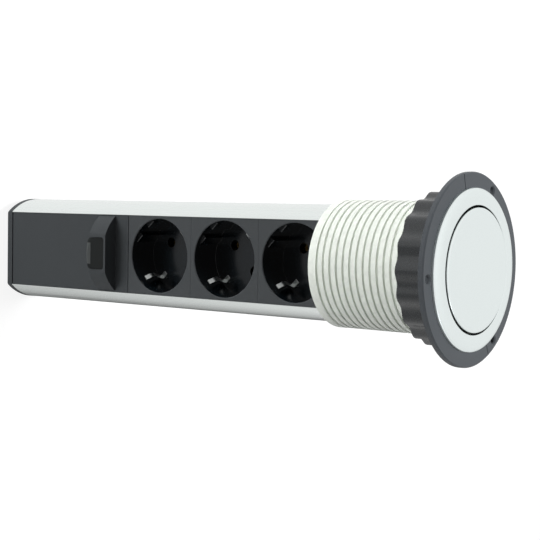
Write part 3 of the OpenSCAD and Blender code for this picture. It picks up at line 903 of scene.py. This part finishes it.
@dataclass
class PlugSocket(Assembly):
    """One socket: its face plate with the recess, its contacts and its cover."""

    number: int = 1
    pitch: float = 45.0
    lowest_z: float = -175.8
    slant: float = 45.0
    face_y: float = -19.436
    face_edge: float = 0.12
    # Depth behind the face where the recess turns smooth and its painted shade begins
    polish_and_shade_depth: float = 0.36
    floor_y: float = -1.936
    floor_back_y: float = 0.064
    bar_y: float = 18.064
    shoulder_at: float = 18.0
    shoulder_y: float = -16.436
    shoulder_edge: float = 0.5
    # How near to a shoulder, or to an end of the plate, an edge counts as lying on it
    shoulder_snap: float = 0.05
    end_snap: float = 0.1
    strip_t: float = 0.8
    strip_edge: float = 0.15
    clip_w: float = 2.6
    clip_edge: float = 0.14
    clip_foot: float = 17.6
    clip_bulge: float = 15.1
    clip_tip: float = 15.4
    clip_top_y: float = -15.836
    clip_bend: float = 1.2
    # Bends of the clip as shares of its height: the knee from its foot, the others from its top
    knee_share: float = 0.15
    bulge_share: float = 0.38
    tip_share: float = 0.22
    foot_l: float = 3.4
    foot_t: float = 0.5
    foot_sink: float = 0.05
    foot_tail: float = 0.2
    foot_edge: float = 0.2
    cover_edge: float = 0.3

    @property
    def centre_z(self) -> float:
        """Height of the socket's centre."""
        return self.lowest_z + (self.number - 1) * self.pitch

    def finish(self) -> RecessPlastic:
        """Gives the finish of the face plate.

        Returns:
            The finish.
        """
        # Polycarbonate of the sockets: the face plates' matt charcoal, polished smoother in the recess and
        # painted near black there as painted shade
        face = FACE_PLASTIC
        return RecessPlastic(
            "polycarbonate_polished_painted_shade_recess", "socket_plastic", face.colour, face.roughness, face.grain_mm,
            face.depth_mm, edge_y_mm=self.face_y + self.polish_and_shade_depth,
        )

    def insert(self) -> BMesh:
        """Copies the face plate: wider roundings on its guide shoulders, and tight joints at its ends.

        Returns:
            The plate.
        """
        end, slant = self.pitch / 2 - self.end_snap, math.radians(self.slant)
        across, along = math.sin(slant), math.cos(slant)

        def on_shoulder(edge: BMEdge) -> bool:
            """Tells whether an edge is the front edge of a guide shoulder.

            Args:
                edge: The edge.

            Returns:
                Whether both of its ends lie there.
            """
            spots = [v.co / MM for v in edge.verts]
            reach = [abs(p.x * across + (p.z - self.centre_z) * along) for p in spots]
            near = all(abs(r - self.shoulder_at) < self.shoulder_snap for r in reach)
            return near and all(abs(p.y - self.shoulder_y) < self.shoulder_snap for p in spots)

        def off_ends(edge: BMEdge) -> bool:
            """Tells whether an edge lies off both ends of the plate."""
            return any(abs(v.co.z / MM - self.centre_z) < end for v in edge.verts)

        bm = self.merged(f"socket_insert_{self.number}")
        soften(bm, self.shoulder_edge, segments=3, only=on_shoulder)
        soften(bm, self.face_edge, only=off_ends)
        return bm

    def clip(self) -> BMesh:
        """Bends one earth clip from a flat strip, standing in the X and Y plane, with a foot on the floor.

        Returns:
            The clip.
        """
        foot, top, half = self.clip_foot, self.clip_top_y, self.clip_w / 2
        rise = self.floor_y - top
        path = [
            (foot, self.floor_back_y),
            (foot, self.floor_y - self.knee_share * rise),
            (self.clip_bulge, top + self.bulge_share * rise),
            (self.clip_tip, top + self.tip_share * rise),
            (foot, top),
        ]
        bm = bmesh.new()
        edges = chain(bm, [(x, y, -half) for x, y in rounded(path, self.clip_bend)], closed=False)[1]
        wide = bmesh.ops.extrude_edge_only(bm, edges=edges)["geom"]
        shift(bm, (0, 0, self.clip_w), vertices(wide))
        thick = bmesh.ops.extrude_face_region(bm, geom=list(bm.faces))["geom"]
        shift(bm, (self.strip_t, 0, 0), vertices(thick))
        bmesh.ops.recalc_face_normals(bm, faces=bm.faces)
        soften(bm, self.clip_edge, corner=50)
        foot_low = (foot - self.foot_l, self.floor_y - self.foot_t, -half)
        foot_high = (foot + self.foot_tail, self.floor_y + self.foot_sink, half)
        join(bm, box(foot_low, foot_high, self.foot_edge))
        return bm

    def bracket(self) -> BMesh:
        """Joins both earth clips, the strip between them and the tab to the earth bar.

        Returns:
            The bracket.
        """
        reach, half, back = self.clip_foot + self.strip_t, self.clip_w / 2, self.floor_back_y
        bm = bmesh.new()
        for angle in (self.slant, self.slant + 180):
            clip = self.clip()
            turn_about_y(clip, angle)
            join(bm, clip)
        strip = box((-reach, back, -half), (reach, back + self.strip_t, half), self.strip_edge)
        turn_about_y(strip, self.slant)
        join(bm, strip)
        join(bm, box((-half, back, -self.strip_t), (half, self.bar_y, self.strip_t), self.strip_edge))
        shift(bm, (0, 0, self.centre_z))
        return bm

    def build(self) -> None:
        """Builds and dresses the group."""
        plate, bracket = f"socket_insert_{self.number}", f"earth_bracket_{self.number}"
        self.piece(self.insert(), f"{plate}_moulded", Body.COLUMN, self.finish(), [plate])
        self.piece(self.bracket(), f"{bracket}_bent", Body.COLUMN, SPRING_STEEL, [bracket])
        self.dress(f"contact_pair_{self.number}", STAMPED_BRASS)
        self.soft_piece(f"rear_cover_{self.number}", Body.COLUMN, COVER_PLASTIC, self.cover_edge)


@dataclass
class LatchEnd(Assembly):
    """The lower plate with its arch, and the sprung latch in it."""

    plate_edge: float = 0.2
    button_edge: float = 0.5
    cage_edge: float = 0.2
    spring_r: float = 1.9
    wire_d: float = 0.5
    wire_steps: int = 10
    spring_turns: int = 6
    spring_steps: int = 20
    spring_top_y: float = -21.57
    spring_low_y: float = -8.742
    spring_z: float = -214.55
    spring_gap: float = 0.1

    def spring(self) -> BMesh:
        """Winds the spring's wire along Y, with flat ends.

        Returns:
            The spring.
        """
        inset = self.wire_d / 2 + self.spring_gap
        rise = self.spring_low_y - self.spring_top_y - 2 * inset
        start = Vector((self.spring_r, self.spring_top_y + inset, self.spring_z)) * MM
        bm = bmesh.new()
        verts = bmesh.ops.create_circle(
            bm, segments=self.wire_steps, radius=self.wire_d / 2 * MM, matrix=Matrix.Translation(start),
            cap_ends=False,
        )["verts"]
        lead = (0, rise / self.spring_turns, 0)
        section, centre = (verts, list(bm.edges)), (0, 0, self.spring_z)
        wind(bm, section, centre, (0, -1, 0), lead, self.spring_turns, self.spring_steps)
        return bm

    def build(self) -> None:
        """Builds and dresses the group."""
        self.soft_piece("blank_cover", Body.COLUMN, FACE_PLASTIC, self.plate_edge)
        self.soft_piece("latch_button", Body.LATCH, LATCH_PAINTED_LIGHT, self.button_edge, segments=3)
        self.soft_piece("latch_cage", Body.COLUMN, LATCH_PAINTED_LIGHT, self.cage_edge)
        coil = self.shape(self.spring(), "latch_spring_wound", SPRING_STEEL, ["latch_spring"])
        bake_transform(coil)


@dataclass
class CableEnd(Assembly):
    """The bus bars, the terminal block, the end cap and its cable gland."""

    bar_edge: float = 0.12
    block_edge: float = 0.2
    cap_edge: float = 0.2
    gland_edge: float = 0.3
    gland_nut_edge: float = 0.2

    def build(self) -> None:
        """Builds and dresses the group."""
        for bar in ("live_bar", "neutral_bar", "earth_bar"):
            self.soft_piece(bar, Body.COLUMN, STAMPED_BRASS, self.bar_edge, way="stamped")
        self.soft_piece("terminal_block", Body.COLUMN, TERMINAL_PLASTIC, self.block_edge)
        self.dress("terminal_screws", SCREW_STEEL)
        self.soft_piece("bottom_cap", Body.COLUMN, FACE_PLASTIC, self.cap_edge)
        self.dress("cap_screws", SCREW_STEEL)
        self.soft_piece("cable_gland", Body.COLUMN, COVER_PLASTIC, self.gland_edge)
        self.soft_piece("gland_nut", Body.COLUMN, COVER_PLASTIC, self.gland_nut_edge)


# Studio


@dataclass(frozen=True)
class Lamp:
    """A square softbox that points at the column."""

    place: Triple
    size: float
    power: float
    reach: Reach


@dataclass
class Studio:
    """The camera, the pale floor and the soft light."""

    floor_z: float
    floor_gap: float = 0.0002
    floor_half: float = 6.0
    paper_colour: str = "#f4f4f4"
    paper_dim: str = "#888888"
    paper_glow: float = 0.88
    lens: float = 82.96
    sensor: float = 36.0
    clip: Point = (0.01, 50.0)
    place: Triple = (-0.029090, -0.518015, 0.275481)
    right: Triple = (-0.01821, 0.60292, 0.79760)
    up: Triple = (-0.99842, 0.03145, -0.04657)
    back: Triple = (-0.05316, -0.79718, 0.60139)
    aim: Triple = (0.0, 0.0, -0.14)
    # The dark strip that glossy surfaces mirror: its levels across X, and how it fades up and forwards
    strip_levels: tuple[Point, ...] = ((-0.1, 1.0), (0.02, 0.06), (0.35, 0.1), (0.6, 0.55), (0.82, 1.0))
    strip_upwards: Ramp = Ramp(-0.35, 0.1, 1.0, 0.0)
    strip_backwards: Ramp = Ramp(-0.4, 0.0, 0.5, 1.0)
    # The level of the rest of what they mirror, which rises overhead and tilts a little across X
    overhead: Ramp = Ramp(0.62, 0.95, 1.0, 1.1)
    tilt: Ramp = Ramp(-0.7, 0.7, 0.05, -0.05)
    # The light that matt surfaces get from the world, by height
    fill: Ramp = Ramp(-0.5, 0.25, 0.7, 0.05)
    lamps: dict[str, Lamp] = field(
        default_factory=lambda: {
            "front_softbox": Lamp((-0.35, -0.95, -1.0), size=0.8, power=16.6, reach=Reach.LIGHT),
            "side_softbox": Lamp((-1.2, -0.2, -0.22), size=0.9, power=11.0, reach=Reach.LIGHT),
            "low_softbox": Lamp((0.9, -0.75, -0.4), size=0.8, power=1.8, reach=Reach.LIGHT),
            "edge_softbox": Lamp((0.9, -0.45, 0.1), size=0.35, power=1.2, reach=Reach.IMAGE),
            "head_softbox": Lamp((-0.2, 0.3, 1.1), size=0.35, power=16.0, reach=Reach.LIGHT),
        }
    )

    def camera(self) -> None:
        """Places the camera at the photograph's view."""
        data = bpy.data.cameras.new("camera")
        data.lens, data.sensor_width = self.lens, self.sensor
        data.clip_start, data.clip_end = self.clip
        made = bpy.data.objects.new("camera", data)
        axes = Matrix((self.right, self.up, self.back)).transposed()
        made.matrix_world = Matrix.Translation(self.place) @ axes.to_4x4()
        bpy.context.scene.collection.objects.link(made)
        bpy.context.scene.camera = made

    def mirrored(self, tree: NodeTree, way: Node) -> NodeSocket:
        """Adds what glossy surfaces mirror: a white room with a dark strip low on one side.

        Args:
            tree: The world's tree.
            way: The node with the direction's X, Y and Z.

        Returns:
            The socket with the background.
        """
        x, y, z = (way.outputs[axis] for axis in "XYZ")
        across = add(tree, "ShaderNodeMapRange", Ramp(-1.0, 1.0, 0.0, 1.0).inputs(x)).outputs[0]
        levels = add(tree, "ShaderNodeValToRGB", {0: across})
        steps = levels.color_ramp.elements
        for number, (place, level) in enumerate(self.strip_levels):
            spot = (place + 1) / 2
            step = steps.new(spot) if number else steps[0]
            step.position, step.color = spot, (level, level, level, 1.0)
        low = add(tree, "ShaderNodeMapRange", self.strip_upwards.inputs(z)).outputs[0]
        far = add(tree, "ShaderNodeMapRange", self.strip_backwards.inputs(y)).outputs[0]
        share = add(tree, "ShaderNodeMath", {0: low, 1: far}, operation="MULTIPLY").outputs[0]
        colours = {0: share, 6: linear(WHITE), 7: levels.outputs[0]}
        room = add(tree, "ShaderNodeMix", colours, data_type="RGBA").outputs[2]
        bright = add(tree, "ShaderNodeMapRange", self.overhead.inputs(z)).outputs[0]
        tilt = add(tree, "ShaderNodeMapRange", self.tilt.inputs(x)).outputs[0]
        strength = add(tree, "ShaderNodeMath", {0: bright, 1: tilt}, operation="ADD").outputs[0]
        return add(tree, "ShaderNodeBackground", {"Color": room, "Strength": strength}).outputs[0]

    def world(self) -> None:
        """Fills the world: white to the eye, soft light for matt surfaces and a room for glossy ones."""
        made = bpy.data.worlds.new("studio")
        bpy.context.scene.world = made
        made.use_nodes = True
        tree = made.node_tree
        tree.nodes.clear()
        direction = add(tree, "ShaderNodeTexCoord").outputs["Generated"]
        way = add(tree, "ShaderNodeSeparateXYZ", {0: direction})
        fill = add(tree, "ShaderNodeMapRange", self.fill.inputs(way.outputs["Z"])).outputs[0]
        light = add(tree, "ShaderNodeBackground", {"Color": linear(WHITE), "Strength": fill}).outputs[0]
        white = add(tree, "ShaderNodeBackground", {"Color": linear(WHITE), "Strength": 1.0}).outputs[0]
        ray = add(tree, "ShaderNodeLightPath").outputs
        rays = {0: ray["Is Glossy Ray"], 1: ray["Is Transmission Ray"]}
        glossy = add(tree, "ShaderNodeMath", rays, operation="MAXIMUM").outputs[0]
        shown = {0: glossy, 1: light, 2: self.mirrored(tree, way)}
        lit = add(tree, "ShaderNodeMixShader", shown).outputs[0]
        seen = {0: ray["Is Camera Ray"], 1: lit, 2: white}
        both = add(tree, "ShaderNodeMixShader", seen).outputs[0]
        add(tree, "ShaderNodeOutputWorld", {"Surface": both})

    def light(self) -> None:
        """Hangs the softboxes and points them at the column."""
        for name, lamp in self.lamps.items():
            data = bpy.data.lights.new(name, "AREA")
            data.shape, data.size, data.energy = "SQUARE", lamp.size, lamp.power
            made = bpy.data.objects.new(name, data)
            turn = (Vector(lamp.place) - Vector(self.aim)).to_track_quat("Z", "Y")
            made.matrix_world = Matrix.Translation(lamp.place) @ turn.to_matrix().to_4x4()
            made.visible_diffuse, made.visible_glossy = lamp.reach.value
            bpy.context.scene.collection.objects.link(made)

    def paper(self) -> Material:
        """Makes the floor's paper.

        Returns:
            The material.
        """
        # Matt white paper: it glows to plain white before the eye, and a shadow still dims it
        made = bpy.data.materials.new("studio_paper_white")
        made.use_nodes = True
        tree = made.node_tree
        tree.nodes.clear()
        ray = add(tree, "ShaderNodeLightPath").outputs
        rays = {0: ray["Is Camera Ray"], 1: ray["Is Glossy Ray"]}
        straight = add(tree, "ShaderNodeMath", rays, operation="MAXIMUM").outputs[0]
        rays = {0: straight, 1: ray["Is Transmission Ray"]}
        seen = add(tree, "ShaderNodeMath", rays, operation="MAXIMUM").outputs[0]
        matt = add(tree, "ShaderNodeBsdfDiffuse", {"Color": linear(self.paper_colour)}).outputs[0]
        dim = add(tree, "ShaderNodeBsdfDiffuse", {"Color": linear(self.paper_dim)}).outputs[0]
        glow = {"Color": linear(WHITE), "Strength": self.paper_glow}
        bright = add(tree, "ShaderNodeEmission", glow).outputs[0]
        shown = add(tree, "ShaderNodeAddShader", {0: dim, 1: bright}).outputs[0]
        both = add(tree, "ShaderNodeMixShader", {0: seen, 1: matt, 2: shown}).outputs[0]
        add(tree, "ShaderNodeOutputMaterial", {"Surface": both})
        return made

    def floor(self) -> None:
        """Lays a pale floor that is white to the eye and still takes the object's shadow."""
        bm = bmesh.new()
        bmesh.ops.create_grid(bm, x_segments=1, y_segments=1, size=self.floor_half)
        bmesh.ops.translate(bm, vec=(0, 0, self.floor_z - self.floor_gap), verts=bm.verts)
        mesh = bpy.data.meshes.new("floor")
        bm.to_mesh(mesh)
        bm.free()
        mesh.materials.append(self.paper())
        made = bpy.data.objects.new("floor", mesh)
        bpy.context.scene.collection.objects.link(made)
        # The front softbox hangs low, so the paper lets it through, and metal mirrors the white world
        made.visible_shadow = made.visible_glossy = False
        made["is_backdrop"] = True

    def build(self) -> None:
        """Sets up the whole studio."""
        self.camera()
        self.world()
        self.light()
        self.floor()
        bpy.context.scene.view_settings.view_transform = "Standard"


def main() -> None:
    """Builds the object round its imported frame."""
    logging.basicConfig(level=logging.INFO, format="%(message)s")
    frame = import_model()
    cad_box = [[float(v) for v in corner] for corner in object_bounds()]
    nodes = frame["nodes"]
    Studio(floor_z=cad_box[0][2]).build()
    groups: list[Assembly] = [DeskFitting(nodes), ClampingSet(nodes), LiftingColumn(nodes)]
    groups += [PlugSocket(nodes, number=n) for n in (1, 2, 3)]
    groups += [LatchEnd(nodes), CableEnd(nodes)]
    for group in groups:
        group.build()


if __name__ == "__main__":
    main()
